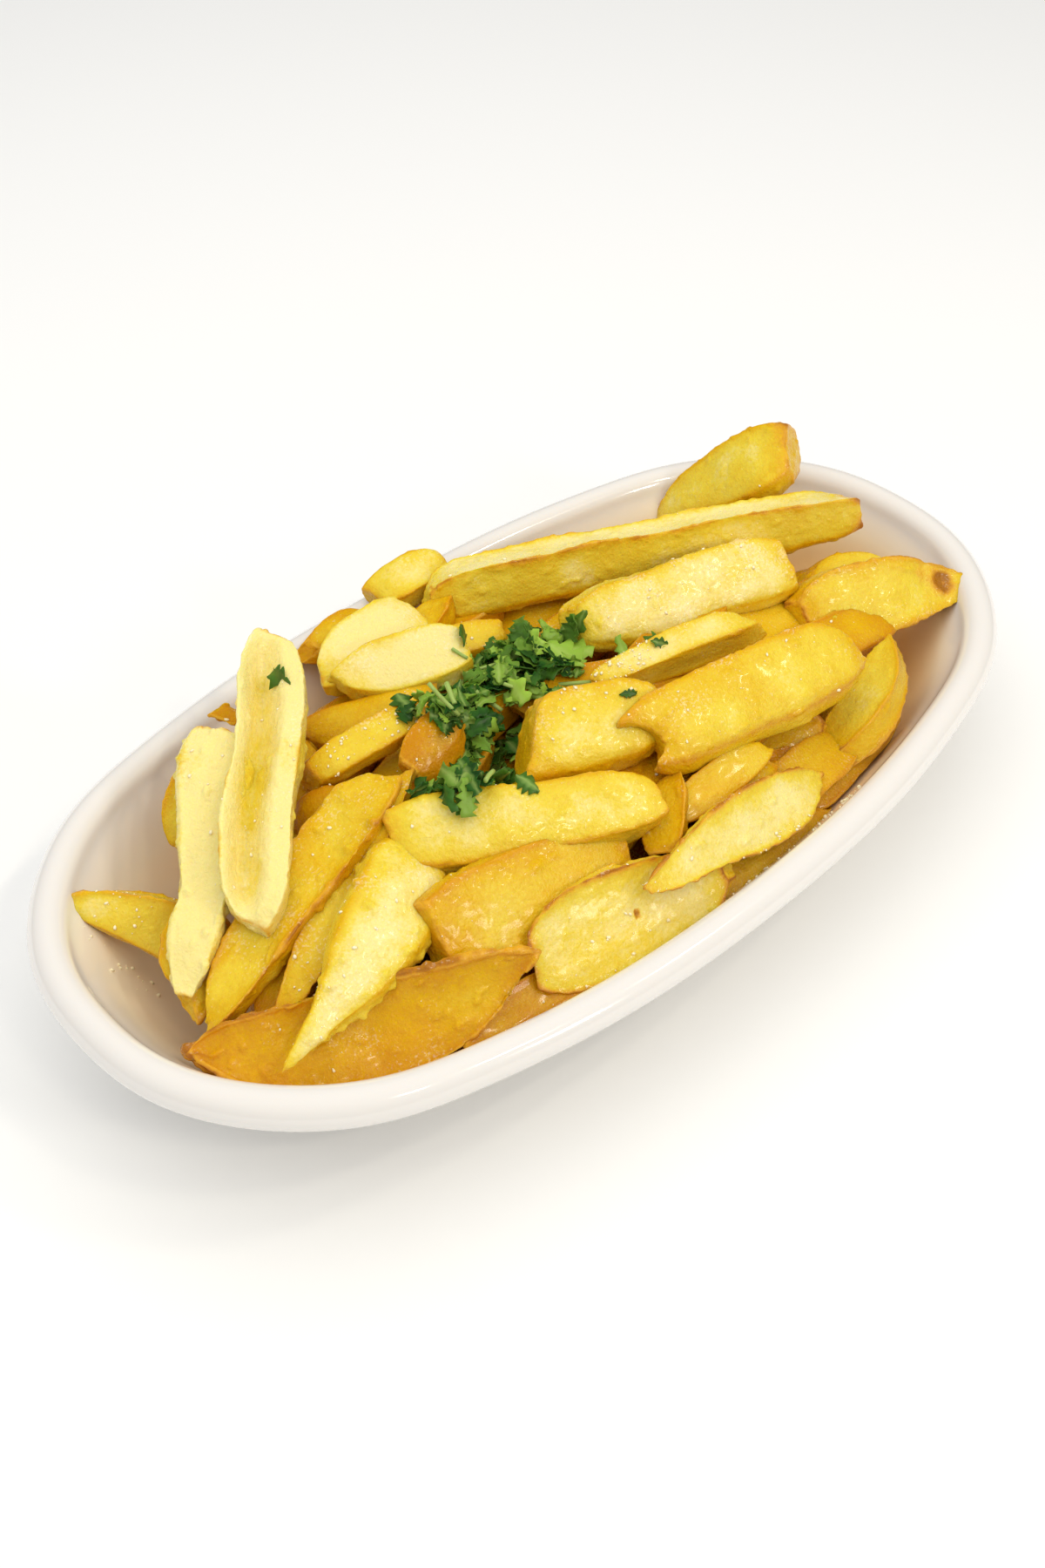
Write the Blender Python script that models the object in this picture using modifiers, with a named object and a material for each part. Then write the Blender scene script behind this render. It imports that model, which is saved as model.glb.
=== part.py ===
"""Oval white dish heaped with thick hand-cut fries. Metres, +Z up.

The dish stands on its foot ring at z = 0, with its long axis on X and its centre on the
origin. Sizes and places below are in millimetres.
"""

import math

import bmesh
import bpy
from mathutils import Matrix, Vector

MM = 0.001

# Dish: outline of its outer edge, seen from above
DISH_LENGTH = 250.0
DISH_WIDTH = 136.0
OVAL_POWER = 2.38  # 2 would be an ellipse; a higher power squares the ends
SHOULDER_SWELL = 0.04  # the long sides swell out by this share near the ends
SHOULDER_AT = 0.78  # where along the half length they swell most
SHOULDER_SPREAD = 0.16
END_LIFT = 3.2  # how far the rim climbs from mid-side to the two ends
SIDES = 56

# Dish: its section. Each point is (distance in from the outer edge, height).
BEAD_RADIUS = 4.2
BEAD_HEIGHT = 31.0  # of the bead's centre, at mid-side
BEAD_STEP = 45.0  # degrees between the points of the bead's round
INNER_WALL = ((39.0, 5.5), (33.0, 6.4), (27.0, 9.0), (21.0, 14.0), (15.5, 20.5), (11.5, 26.5))
OUTER_WALL = ((7.7, 25.0), (10.7, 19.5), (17.0, 13.0), (23.5, 7.0), (27.0, 3.6))
FOOT_RING = ((29.4, 1.5), (30.4, 0.0), (34.5, 0.0), (36.0, 1.6))
LEVEL_BELOW = 6.4  # nothing under this height is lifted towards the ends

# Heap: what keeps it off the dish, and how finely it is worked
CLEARANCE = 0.4  # gap between the fries and the dish
HEADROOM = 90.0  # top of the space that the heap may fill
OVERHANG = 8.0  # how far past the dish's edge that space reaches
VOXEL = 1.7
FACE_SHARE = 0.055
FRY_CUTS = 9
FRY_CORNER = 1.2
FRY_FULLNESS = 0.7  # under 1, a fry reaches its middle width soon after its ends
THICK_WITH_WIDTH = 0.4  # 0 keeps the thickness even, 1 thins it as much as the width
CORE_CENTRE = (-3.0, -2.0, 8.0)
CORE_RADII = (93.0, 52.0, 26.0)

# Edges that turn by more degrees than this look sharp, or take a bevel
SHARP_ON_DISH = 40.0
SHARP_ON_FRIES = 50.0

# Each fry: start, end, (width at start, middle, end), thickness, roll in degrees, side bow.
# Its width lies level at roll 0. A positive roll lifts its left edge, seen from the start.
FRIES = (
    # standing on the far side
    ((82, 44, 26), (98, 18, 51), (8, 17, 17), 13, 25, 0),
    ((8, 49, 39), (99, -2, 44), (11, 12, 8), 14, -15, 0),
    ((-2, 60, 37), (16, 56, 39), (12, 12, 12), 10, 20, 0),
    ((-26, 56, 37), (-7, 55, 36), (7, 10, 11), 9, 10, 0),
    ((-31, 43, 41), (0, 47, 39), (11, 15, 14), 10, 20, 0),
    ((-31, 37, 43), (-2, 26, 43), (7, 14, 12), 8, 30, 0),
    # across the middle
    ((23, 15, 41), (75, -3, 41), (15, 17, 15), 9, 38, 0),
    ((10, -5, 45), (50, -14, 45), (8, 9, 8), 8, 15, 0),
    ((-1, -26, 47), (57, -35, 46), (17, 21, 14), 9, 32, 0),
    ((-16, -8, 47), (12, -21, 47), (20, 20, 16), 12, 30, 0),
    ((-42, 34, 35), (-15, 23, 37), (14, 14, 14), 12, 20, 0),
    ((-53, 19, 41), (-26, 15, 45), (8, 9, 8), 9, 15, 0),
    ((-38, 4, 42), (-23, 6, 45), (10, 13, 10), 11, 20, 0),
    ((-10, 37, 39), (12, 28, 39), (10, 10, 10), 8, 20, 0),
    # right end
    ((79, -34, 35), (44, -44, 27), (3, 13, 10), 9, 20, -8),
    ((33, -32, 31), (48, -40, 29), (7, 12, 9), 8, 25, 0),
    ((71, -14, 35), (109, -31, 33), (12, 17, 6), 11, 35, 2),
    ((81, -3, 35), (101, -15, 33), (11, 11, 9), 9, 20, 0),
    # against the near wall
    ((-20, -50, 38), (34, -49, 30), (3, 14, 5), 6, 42, 1),
    ((-46, -44, 29), (0, -55, 28), (13, 24, 8), 6, 48, 0),
    ((0, -31, 41), (-10, -41, 37), (9, 9, 8), 8, 20, 0),
    ((-2, -38, 37), (24, -39, 39), (7, 10, 7), 8, 30, 0),
    ((-52, -6, 43), (-6, -35, 43), (11, 12, 12), 11, 25, 0),
    ((-60, -27, 35), (-16, -36, 35), (20, 24, 19), 10, 42, 0),
    # left end
    ((-97, -30, 29), (-56, -21, 43), (4, 18, 18), 12, -10, -2),
    ((-101, -10, 27), (-46, 2, 47), (6, 15, 10), 11, -5, 2),
    ((-92, -20, 27), (-51, -7, 42), (5, 12, 10), 9, -5, 0),
    ((-110, -12, 25), (-49, -46, 33), (4, 22, 5), 8, 48, -6),
    ((-108, 31, 31), (-85, 3, 17), (3, 14, 15), 9, 45, 3),
    ((-85, -3, 39), (-42, 44, 57), (10, 16, 10), 13, -5, 0),
    ((-103, -2, 30), (-65, 33, 51), (8, 11, 15), 11, 0, -1),
    ((-81, 26, 35), (-72, 31, 37), (9, 10, 8), 8, 0, 0),
    # underneath, seen from the back and between the others
    ((12, 38, 27), (80, 12, 29), (11, 14, 10), 12, 10, 0),
    ((48, 38, 17), (92, 14, 22), (9, 13, 9), 11, -15, 0),
    ((-55, 40, 25), (-2, 44, 27), (9, 13, 11), 11, 15, 0),
    ((-78, 28, 19), (-28, 34, 20), (9, 14, 12), 12, 0, 0),
    ((-18, 20, 33), (40, 22, 32), (11, 15, 12), 12, 5, 0),
    ((-60, -8, 32), (-15, 8, 34), (11, 15, 12), 12, -5, 0),
    ((-30, -14, 34), (30, -10, 36), (11, 15, 12), 12, 0, 0),
    ((25, -32, 26), (78, -18, 28), (9, 15, 11), 12, 10, 0),
    ((52, 6, 30), (98, -8, 25), (10, 14, 9), 12, 5, 0),
    ((-92, 14, 18), (-60, -28, 20), (9, 14, 10), 12, 0, 0),
    ((-70, -30, 22), (-15, -44, 20), (9, 14, 10), 12, 10, 0),
    ((-10, -45, 22), (45, -38, 22), (9, 14, 10), 12, 10, 0),
    ((20, 20, 20), (75, 30, 14), (10, 14, 10), 12, 0, 0),
    ((60, -35, 14), (95, 0, 18), (10, 14, 9), 12, 0, 0),
    ((-25, 48, 33), (22, 42, 34), (10, 13, 10), 11, 0, 0),
)

GLAZE_COLOUR = (0.83, 0.80, 0.76, 1.0)
POTATO_COLOUR = (0.80, 0.62, 0.20, 1.0)


def clear_scene():
    for obj in list(bpy.data.objects):
        bpy.data.objects.remove(obj, do_unlink=True)


def collection(name):
    made = bpy.data.collections.new(name)
    bpy.context.scene.collection.children.link(made)
    return made


def material(name, colour, roughness):
    made = bpy.data.materials.new(name)
    made.use_nodes = True
    shader = made.node_tree.nodes["Principled BSDF"]
    shader.inputs["Base Color"].default_value = colour
    shader.inputs["Roughness"].default_value = roughness
    shader.inputs["Metallic"].default_value = 0.0
    made.diffuse_color = colour
    return made


def eased(value):
    """0 to 1 with a soft start and stop."""
    value = min(max(value, 0.0), 1.0)
    return value * value * (3.0 - 2.0 * value)


def oval_point(turn, inset, height):
    """The point on the dish's oval at this turn, this far in from its edge."""
    power = 2.0 / OVAL_POWER
    along = math.copysign(abs(math.cos(turn)) ** power, math.cos(turn))
    across = math.copysign(abs(math.sin(turn)) ** power, math.sin(turn))
    swell = SHOULDER_SWELL * math.exp(-(((abs(along) - SHOULDER_AT) / SHOULDER_SPREAD) ** 2))
    lift = END_LIFT * abs(along) ** 1.5
    lift *= eased((height - LEVEL_BELOW) / (BEAD_HEIGHT - LEVEL_BELOW))
    return Vector(
        (
            (DISH_LENGTH / 2 - inset) * along,
            (DISH_WIDTH / 2 - inset) * across * (1.0 + swell),
            height + lift,
        )
    )


def bead_arc(radius, first, last):
    """(inset, height) points on the rim's round, from one angle to another; 0 faces out."""
    steps = round(abs(first - last) / BEAD_STEP)
    points = []
    for i in range(steps + 1):
        angle = math.radians(first + (last - first) * i / steps)
        inset = BEAD_RADIUS - radius * math.cos(angle)
        points.append((inset, BEAD_HEIGHT + radius * math.sin(angle)))
    return points


def pushed_in(profile, gap):
    """The profile moved off its surface by gap, towards the middle of the dish."""
    moved = []
    for i, (inset, height) in enumerate(profile):
        before = profile[max(i - 1, 0)]
        after = profile[min(i + 1, len(profile) - 1)]
        run = Vector((after[0] - before[0], after[1] - before[1])).normalized()
        moved.append((inset + run.y * gap, height - run.x * gap))
    return moved


def loft(name, profile, target):
    """A closed solid whose level rings follow the profile, with both ends filled."""
    bm = bmesh.new()
    rings = []
    for inset, height in profile:
        turns = [2.0 * math.pi * i / SIDES for i in range(SIDES)]
        verts = [bm.verts.new(oval_point(turn, inset, height) * MM) for turn in turns]
        edges = [bm.edges.new((a, b)) for a, b in zip(verts, verts[1:] + verts[:1])]
        rings.append(edges)
    for lower, upper in zip(rings, rings[1:]):
        bmesh.ops.bridge_loops(bm, edges=lower + upper)
    bmesh.ops.contextual_create(bm, geom=rings[0])
    bmesh.ops.contextual_create(bm, geom=rings[-1])
    bmesh.ops.recalc_face_normals(bm, faces=bm.faces[:])
    return to_object(bm, name, target)


def to_object(bm, name, target):
    mesh = bpy.data.meshes.new(name)
    bm.to_mesh(mesh)
    bm.free()
    obj = bpy.data.objects.new(name, mesh)
    target.objects.link(obj)
    return obj


def across_three(values, u):
    """A smooth value through the three given at u = 0, 0.5 and 1."""
    start, middle, end = values
    edge = start if u < 0.5 else end
    return edge + (middle - edge) * math.sin(math.pi * min(u, 1.0 - u)) ** FRY_FULLNESS


def fry_mesh(start, end, widths, thickness, roll, bow):
    """One fry: a bar cut across its length, each slice sized and placed on its run."""
    start, end = Vector(start), Vector(end)
    run = (end - start).normalized()
    side = Vector((0, 0, 1)).cross(run).normalized()
    turned = Matrix.Rotation(math.radians(roll), 3, run)
    side = turned @ side
    face = run.cross(side)
    middle_width = widths[1]

    bm = bmesh.new()
    bmesh.ops.create_cube(bm, size=1.0)
    lengthwise = [e for e in bm.edges if abs(e.verts[0].co.x - e.verts[1].co.x) > 0.5]
    bmesh.ops.subdivide_edges(bm, edges=lengthwise, cuts=FRY_CUTS, use_grid_fill=True)
    for vert in bm.verts:
        u = vert.co.x + 0.5
        width = across_three(widths, u)
        thick = thickness * (width / middle_width) ** THICK_WITH_WIDTH
        centre = start.lerp(end, u) + side * bow * math.sin(math.pi * u)
        vert.co = (centre + side * vert.co.y * width + face * vert.co.z * thick) * MM
    bmesh.ops.bevel(
        bm,
        geom=[e for e in bm.edges if e.calc_face_angle(0.0) > math.radians(SHARP_ON_FRIES)],
        offset=FRY_CORNER * MM,
        offset_type="OFFSET",
        segments=1,
        profile=0.5,
        affect="EDGES",
        clamp_overlap=True,
    )
    mesh = bpy.data.meshes.new("fry")
    bm.to_mesh(mesh)
    bm.free()
    return mesh


def heap_mesh():
    """Every fry and the mound they lie on, as overlapping closed shells."""
    bm = bmesh.new()
    place = Matrix.Translation(Vector(CORE_CENTRE) * MM)
    size = Matrix.Diagonal((*(Vector(CORE_RADII) * MM), 1.0))
    bmesh.ops.create_uvsphere(bm, u_segments=48, v_segments=24, radius=1.0, matrix=place @ size)
    for row in FRIES:
        mesh = fry_mesh(*row)
        bm.from_mesh(mesh)
        bpy.data.meshes.remove(mesh)
    return bm


def worked_mesh(obj):
    """The object's mesh with its modifiers worked in, less any shell sealed inside it."""
    graph = bpy.context.evaluated_depsgraph_get()
    bm = bmesh.new()
    bm.from_mesh(bpy.data.meshes.new_from_object(obj.evaluated_get(graph)))
    bm.verts.ensure_lookup_table()
    seen = set()
    islands = []
    for first in bm.verts:
        if first in seen:
            continue
        island, waiting = [], [first]
        seen.add(first)
        while waiting:
            vert = waiting.pop()
            island.append(vert)
            for edge in vert.link_edges:
                other = edge.other_vert(vert)
                if other not in seen:
                    seen.add(other)
                    waiting.append(other)
        islands.append(island)
    islands.sort(key=len)
    for island in islands[:-1]:
        bmesh.ops.delete(bm, geom=island, context="VERTS")
    return bm


def modifier(obj, kind, **settings):
    made = obj.modifiers.new(kind.title(), kind)
    for name, value in settings.items():
        setattr(made, name, value)


def main():
    clear_scene()
    parts = collection("plated_fries")
    cutters = collection("cutters")

    glaze = material("white_glazed_porcelain", GLAZE_COLOUR, 0.15)
    potato = material("fried_potato", POTATO_COLOUR, 0.5)

    rim = bead_arc(BEAD_RADIUS, 180.0, -90.0)
    dish = loft("dish", [*INNER_WALL, *rim, *OUTER_WALL, *FOOT_RING], parts)
    dish.data.materials.append(glaze)
    dish.data.shade_smooth()
    dish.data.set_sharp_from_angle(angle=math.radians(SHARP_ON_DISH))

    wall = pushed_in([*INNER_WALL, *bead_arc(BEAD_RADIUS, 180.0, 45.0)], CLEARANCE)
    top = [(-OVERHANG, wall[-1][1]), (-OVERHANG, HEADROOM)]
    space = loft("space_for_the_heap", wall + top, cutters)
    space.hide_render = True
    space.display_type = "WIRE"

    rough = to_object(heap_mesh(), "rough_heap", cutters)
    modifier(rough, "REMESH", mode="VOXEL", voxel_size=VOXEL * MM)
    heap = to_object(worked_mesh(rough), "fries_heap", parts)
    bpy.data.objects.remove(rough)
    modifier(heap, "DECIMATE", ratio=FACE_SHARE)
    modifier(heap, "BOOLEAN", operation="INTERSECT", object=space, solver="EXACT")
    heap.data.materials.append(potato)
    heap.data.shade_smooth()
    heap.data.set_sharp_from_angle(angle=math.radians(SHARP_ON_FRIES))


main()
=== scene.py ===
import math
import random

import bmesh
import bpy
from mathutils import Matrix, Vector, noise
from mathutils.bvhtree import BVHTree


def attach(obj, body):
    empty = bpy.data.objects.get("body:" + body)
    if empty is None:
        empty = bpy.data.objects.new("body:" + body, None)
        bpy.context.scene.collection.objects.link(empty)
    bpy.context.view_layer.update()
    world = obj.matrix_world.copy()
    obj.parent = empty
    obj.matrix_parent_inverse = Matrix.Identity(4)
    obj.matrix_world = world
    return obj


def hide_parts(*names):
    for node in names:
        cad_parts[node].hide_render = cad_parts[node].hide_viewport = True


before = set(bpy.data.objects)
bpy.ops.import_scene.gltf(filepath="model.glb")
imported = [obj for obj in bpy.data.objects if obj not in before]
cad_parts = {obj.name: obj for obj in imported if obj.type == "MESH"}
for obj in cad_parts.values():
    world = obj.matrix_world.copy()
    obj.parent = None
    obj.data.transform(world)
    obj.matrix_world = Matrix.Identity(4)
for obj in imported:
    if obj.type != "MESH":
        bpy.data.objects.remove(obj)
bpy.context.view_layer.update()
mm = 0.001
up = Vector((0.0, 0.0, 1.0))


def linear(code):
    # sRGB hex to the linear values that Blender's sockets take
    channels = [int(code[i:i + 2], 16) / 255 for i in (1, 3, 5)]
    return [c / 12.92 if c <= 0.04045 else ((c + 0.055) / 1.055) ** 2.4 for c in channels] + [1.0]


def addNode(tree, kind, settings=None, links=None):
    made = tree.nodes.new("ShaderNode" + kind)
    for name, value in (settings or {}).items():
        if isinstance(name, str) and name.islower():
            setattr(made, name, value)
        else:
            made.inputs[name].default_value = value
    for name, source in (links or {}).items():
        tree.links.new(source, made.inputs[name])
    return made


def newMaterial(name, preview):
    made = bpy.data.materials.new(name)
    made.use_nodes = True
    made.node_tree.nodes.clear()
    made.diffuse_color = linear(preview)
    return made, made.node_tree


def eased(value):
    value = min(max(value, 0.0), 1.0)
    return value * value * (3.0 - 2.0 * value)


def toObject(bm, name, material):
    mesh = bpy.data.meshes.new(name)
    bm.to_mesh(mesh)
    bm.free()
    mesh.shade_smooth()
    obj = bpy.data.objects.new(name, mesh)
    bpy.context.scene.collection.objects.link(obj)
    mesh.materials.append(material)
    return obj


def smoothed(obj, levels):
    # a live Subdivision modifier, the same in the viewport and in the render
    made = obj.modifiers.new("Subdivision", "SUBSURF")
    made.levels = made.render_levels = levels
    return made


def applied(obj):
    # swaps the object's mesh for the one its modifiers make
    graph = bpy.context.evaluated_depsgraph_get()
    mesh = bpy.data.meshes.new_from_object(obj.evaluated_get(graph))
    old = obj.data
    obj.modifiers.clear()
    obj.data = mesh
    mesh.name = obj.name
    bpy.data.meshes.remove(old)
    return obj


def glazedPorcelain():
    # white porcelain under a clear fired glaze: glossy and a little warm, with soft light
    # inside it. The foot ring is wiped bare before firing, so it is matt and slightly grey.
    look = {"glaze": "#EAE6E0", "bare": "#DCD6CC", "paintedBounceLight": "#FFF0D2", "oilAndBounce": "#FBD086", "footTop": 0.5, "orangePeel": 9.0}
    material, tree = newMaterial("glazedPorcelain", look["glaze"])
    place = addNode(tree, "TexCoord").outputs["Object"]
    height = addNode(tree, "SeparateXYZ", links={0: place}).outputs["Z"]
    glazed = addNode(tree, "MapRange", {"From Min": look["footTop"] * mm, "From Max": (look["footTop"] + 0.4) * mm},
                     {"Value": height}).outputs["Result"]
    # frying oil has run down inside the dish and tints the glaze there; the tint is also painted warm bounce light from
    # the fries, a brighter cream up the wall and golden lower down near the food
    oilAndBounceLight = addNode(tree, "Attribute", {"attribute_name": "oilAndBounceLight"}).outputs["Fac"]
    oilAndBounceTint = addNode(tree, "ValToRGB", links={"Fac": oilAndBounceLight})
    ramp = oilAndBounceTint.color_ramp
    ramp.elements[0].color = linear(look["glaze"])
    ramp.elements[1].color = linear(look["oilAndBounce"])
    # painted bounce light: a brighter cream than the glaze partway up the wall
    ramp.elements.new(0.4).color = linear(look["paintedBounceLight"])
    colour = addNode(tree, "Mix", {"data_type": "RGBA", 6: linear(look["bare"])}, {0: glazed, 7: oilAndBounceTint.outputs["Color"]}).outputs[2]
    rough = addNode(tree, "MapRange", {"To Min": 0.75, "To Max": 0.13}, {"Value": glazed}).outputs["Result"]
    waves = addNode(tree, "TexNoise", {"Scale": 1 / (look["orangePeel"] * mm), "Detail": 1.0}, {"Vector": place}).outputs["Fac"]
    bump = addNode(tree, "Bump", {"Strength": 0.12, "Distance": 0.25 * mm}, {"Height": waves}).outputs["Normal"]
    shader = addNode(tree, "BsdfPrincipled", {
        "IOR": 1.5, "Subsurface Weight": 0.12, "Subsurface Radius": (1.0, 0.8, 0.6),
        "Subsurface Scale": 2.5 * mm, "Coat Weight": 0.5, "Coat Roughness": 0.04,
    }, {"Base Color": colour, "Roughness": rough, "Normal": bump})
    addNode(tree, "OutputMaterial", links={"Surface": shader.outputs["BSDF"]})
    return material


def friedPotato():
    # potato cut by hand and deep fried: pale creamy flesh that light soaks into, a thin skin
    # of oil, fine blisters, and edges that crisp to gold and brown
    look = {
        "flesh": "#F4E493", "pale": "#E9D03E", "yellow": "#E0B30A", "gold": "#CF8C02",
        "crust": "#E2AC2A", "brown": "#BE7E1C", "scorched": "#6E3A10",
        "salt": "#FFF9E6", "patch": 13.0, "grain": 0.9, "pore": 0.6,
    }
    material, tree = newMaterial("friedPotato", look["yellow"])
    place = addNode(tree, "TexCoord").outputs["Object"]
    gold = addNode(tree, "Attribute", {"attribute_name": "gold"}).outputs["Fac"]
    toast = addNode(tree, "Attribute", {"attribute_name": "toast"}).outputs["Fac"]
    patch = addNode(tree, "TexNoise", {"Scale": 1 / (look["patch"] * mm), "Detail": 2.5, "Roughness": 0.55}, {"Vector": place}).outputs["Fac"]
    grain = addNode(tree, "TexNoise", {"Scale": 1 / (look["grain"] * mm), "Detail": 2.5, "Roughness": 0.6}, {"Vector": place}).outputs["Fac"]
    patchShift = addNode(tree, "MapRange", {"From Min": 0.3, "From Max": 0.7, "To Min": -0.12, "To Max": 0.12}, {"Value": patch}).outputs["Result"]
    grainShift = addNode(tree, "MapRange", {"From Min": 0.3, "From Max": 0.7, "To Min": -0.08, "To Max": 0.08}, {"Value": grain}).outputs["Result"]
    shift = addNode(tree, "Math", {"operation": "ADD"}, {0: patchShift, 1: grainShift}).outputs[0]
    depth = addNode(tree, "Math", {"operation": "ADD", "use_clamp": True}, {0: gold, 1: shift}).outputs[0]
    base = addNode(tree, "ValToRGB", links={"Fac": depth})
    ramp = base.color_ramp
    ramp.elements[0].color = linear(look["flesh"])
    ramp.elements[1].color = linear(look["gold"])
    ramp.elements.new(0.25).color = linear(look["pale"])
    ramp.elements.new(0.6).color = linear(look["yellow"])
    crisp = addNode(tree, "Math", {"operation": "ADD", "use_clamp": True}, {0: toast, 1: shift}).outputs[0]
    browned = addNode(tree, "MapRange", {"From Min": 0.42, "From Max": 1.3}, {"Value": crisp}).outputs["Result"]
    crust = addNode(tree, "ValToRGB", links={"Fac": browned})
    ramp = crust.color_ramp
    ramp.elements[0].color = linear(look["crust"])
    ramp.elements[1].color = linear(look["scorched"])
    ramp.elements.new(0.5).color = linear(look["brown"])
    cover = addNode(tree, "MapRange", {"From Min": 0.14, "From Max": 0.5}, {"Value": crisp}).outputs["Result"]
    colour = addNode(tree, "Mix", {"data_type": "RGBA"}, {0: cover, 6: base.outputs["Color"], 7: crust.outputs["Color"]}).outputs[2]
    # grains of salt and starch, drawn about 0.6 mm wide so that they show
    dust = addNode(tree, "Attribute", {"attribute_name": "dust"}).outputs["Fac"]
    speck = addNode(tree, "TexNoise", {"Scale": 1 / (look["pore"] * mm), "Detail": 1.0}, {"Vector": place}).outputs["Fac"]
    speckle = addNode(tree, "Math", {"operation": "ADD"}, {0: speck, 1: dust}).outputs[0]
    salted = addNode(tree, "MapRange", {"From Min": 1.12, "From Max": 1.3, "To Max": 0.26}, {"Value": speckle}).outputs["Result"]
    finished = addNode(tree, "Mix", {"data_type": "RGBA", 7: linear(look["salt"])}, {0: salted, 6: colour}).outputs[2]
    rough = addNode(tree, "MapRange", {"From Min": 0.3, "From Max": 0.7, "To Min": 0.2, "To Max": 0.46}, {"Value": grain}).outputs["Result"]
    coarse = addNode(tree, "Bump", {"Strength": 0.5, "Distance": 0.4 * mm}, {"Height": grain}).outputs["Normal"]
    bump = addNode(tree, "Bump", {"Strength": 0.55, "Distance": 0.3 * mm}, {"Height": speckle, "Normal": coarse}).outputs["Normal"]
    shader = addNode(tree, "BsdfPrincipled", {
        "IOR": 1.44, "Specular IOR Level": 0.45, "Subsurface Weight": 0.38, "Subsurface Radius": (1.0, 0.75, 0.12),
        "Subsurface Scale": 2.5 * mm, "Coat Weight": 0.2, "Coat Roughness": 0.1,
    }, {"Base Color": finished, "Roughness": rough, "Normal": bump})
    addNode(tree, "OutputMaterial", links={"Surface": shader.outputs["BSDF"]})
    return material


def parsleyLeaf():
    # chopped flat-leaf parsley: dark green and damp, paler on the veins and cut stems
    look = {"shade": "#1B4418", "leaf": "#37691F", "young": "#A0C544", "stem": "#B3CB6C"}
    material, tree = newMaterial("choppedParsley", look["leaf"])
    place = addNode(tree, "TexCoord").outputs["Object"]
    pale = addNode(tree, "Attribute", {"attribute_name": "pale"}).outputs["Fac"]
    mottle = addNode(tree, "TexNoise", {"Scale": 1 / (4 * mm), "Detail": 3.0}, {"Vector": place}).outputs["Fac"]
    spread = addNode(tree, "MapRange", {"From Min": 0.35, "From Max": 0.65}, {"Value": mottle}).outputs["Result"]
    green = addNode(tree, "Mix", {"data_type": "RGBA", 6: linear(look["shade"]), 7: linear(look["leaf"])}, {0: spread}).outputs[2]
    tone = addNode(tree, "Attribute", {"attribute_name": "tone"}).outputs["Fac"]
    toned = addNode(tree, "Mix", {"data_type": "RGBA", 7: linear(look["young"])}, {0: tone, 6: green}).outputs[2]
    colour = addNode(tree, "Mix", {"data_type": "RGBA", 7: linear(look["stem"])}, {0: pale, 6: toned}).outputs[2]
    veins = addNode(tree, "TexNoise", {"Scale": 1 / (0.9 * mm), "Detail": 2.0}, {"Vector": place}).outputs["Fac"]
    bump = addNode(tree, "Bump", {"Strength": 0.4, "Distance": 0.2 * mm}, {"Height": veins}).outputs["Normal"]
    shader = addNode(tree, "BsdfPrincipled", {
        "IOR": 1.42, "Roughness": 0.38, "Subsurface Weight": 0.2, "Subsurface Radius": (0.4, 1.0, 0.2),
        "Subsurface Scale": 0.8 * mm,
    }, {"Base Color": colour, "Normal": bump})
    addNode(tree, "OutputMaterial", links={"Surface": shader.outputs["BSDF"]})
    return material


def cheeseCrumb():
    # hard cheese grated fine: ivory and matt
    look = {"light": "#FFF8DC", "deep": "#FBEBB4"}
    material, tree = newMaterial("gratedCheese", look["light"])
    place = addNode(tree, "TexCoord").outputs["Object"]
    mottle = addNode(tree, "TexNoise", {"Scale": 1 / (1.5 * mm), "Detail": 2.0}, {"Vector": place}).outputs["Fac"]
    colour = addNode(tree, "Mix", {"data_type": "RGBA", 6: linear(look["light"]), 7: linear(look["deep"])}, {0: mottle}).outputs[2]
    shader = addNode(tree, "BsdfPrincipled", {
        "IOR": 1.45, "Roughness": 0.6,
    }, {"Base Color": colour})
    addNode(tree, "OutputMaterial", links={"Surface": shader.outputs["BSDF"]})
    return material


def paleBoard():
    # plain pale studio board, painted matt
    material, tree = newMaterial("paleBoard", "#F4F4F2")
    place = addNode(tree, "TexCoord").outputs["Object"]
    fibre = addNode(tree, "TexNoise", {"Scale": 1 / (3 * mm), "Detail": 2.0}, {"Vector": place}).outputs["Fac"]
    bump = addNode(tree, "Bump", {"Strength": 0.05, "Distance": 0.1 * mm}, {"Height": fibre}).outputs["Normal"]
    shader = addNode(tree, "BsdfPrincipled", {"Base Color": linear("#F4F4F2"), "Roughness": 0.9}, {"Normal": bump})
    addNode(tree, "OutputMaterial", links={"Surface": shader.outputs["BSDF"]})
    return material


porcelain = glazedPorcelain()
potato = friedPotato()
parsley = parsleyLeaf()
cheese = cheeseCrumb()
print("materials ready")


dishSettings = {
    "length": 250.0, "width": 136.0, "squareness": 2.38,  # 2 would be a true ellipse
    "shoulderSwell": 0.04, "shoulderAt": 0.78, "shoulderSpread": 0.16,
    "endLift": 3.2, "levelBelow": 6.4, "sides": 96,
    "beadRadius": 4.2, "beadHeight": 31.0,
    "floorHeight": 5.5,
    "inner": [(39.0, 5.5), (36.0, 5.7), (33.0, 6.4), (30.0, 7.5), (27.0, 9.0), (24.0, 11.2), (21.0, 14.0),
              (18.2, 17.1), (15.5, 20.5), (13.5, 23.4), (11.5, 26.5), (10.0, 28.6)],
    "outer": [(7.0, 26.3), (7.7, 25.0), (9.1, 22.2), (10.7, 19.5), (13.7, 16.1), (17.0, 13.0), (20.3, 9.9),
              (23.5, 7.0), (25.4, 5.2), (27.0, 3.6), (28.4, 2.3), (29.4, 1.5), (29.9, 0.4), (30.4, 0.0),
              (32.4, 0.0), (34.5, 0.0), (35.1, 0.5), (36.0, 1.6), (39.0, 1.9)],
    "floorRings": [0.86, 0.7, 0.5, 0.3, 0.12],
    # how far up the dish's inside the oil tint and painted bounce light reach
    "oilAndBounceUpTo": 18, "oilAndBounceTop": 34.0, "oilAndBounceFade": 18.0,
}


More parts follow.
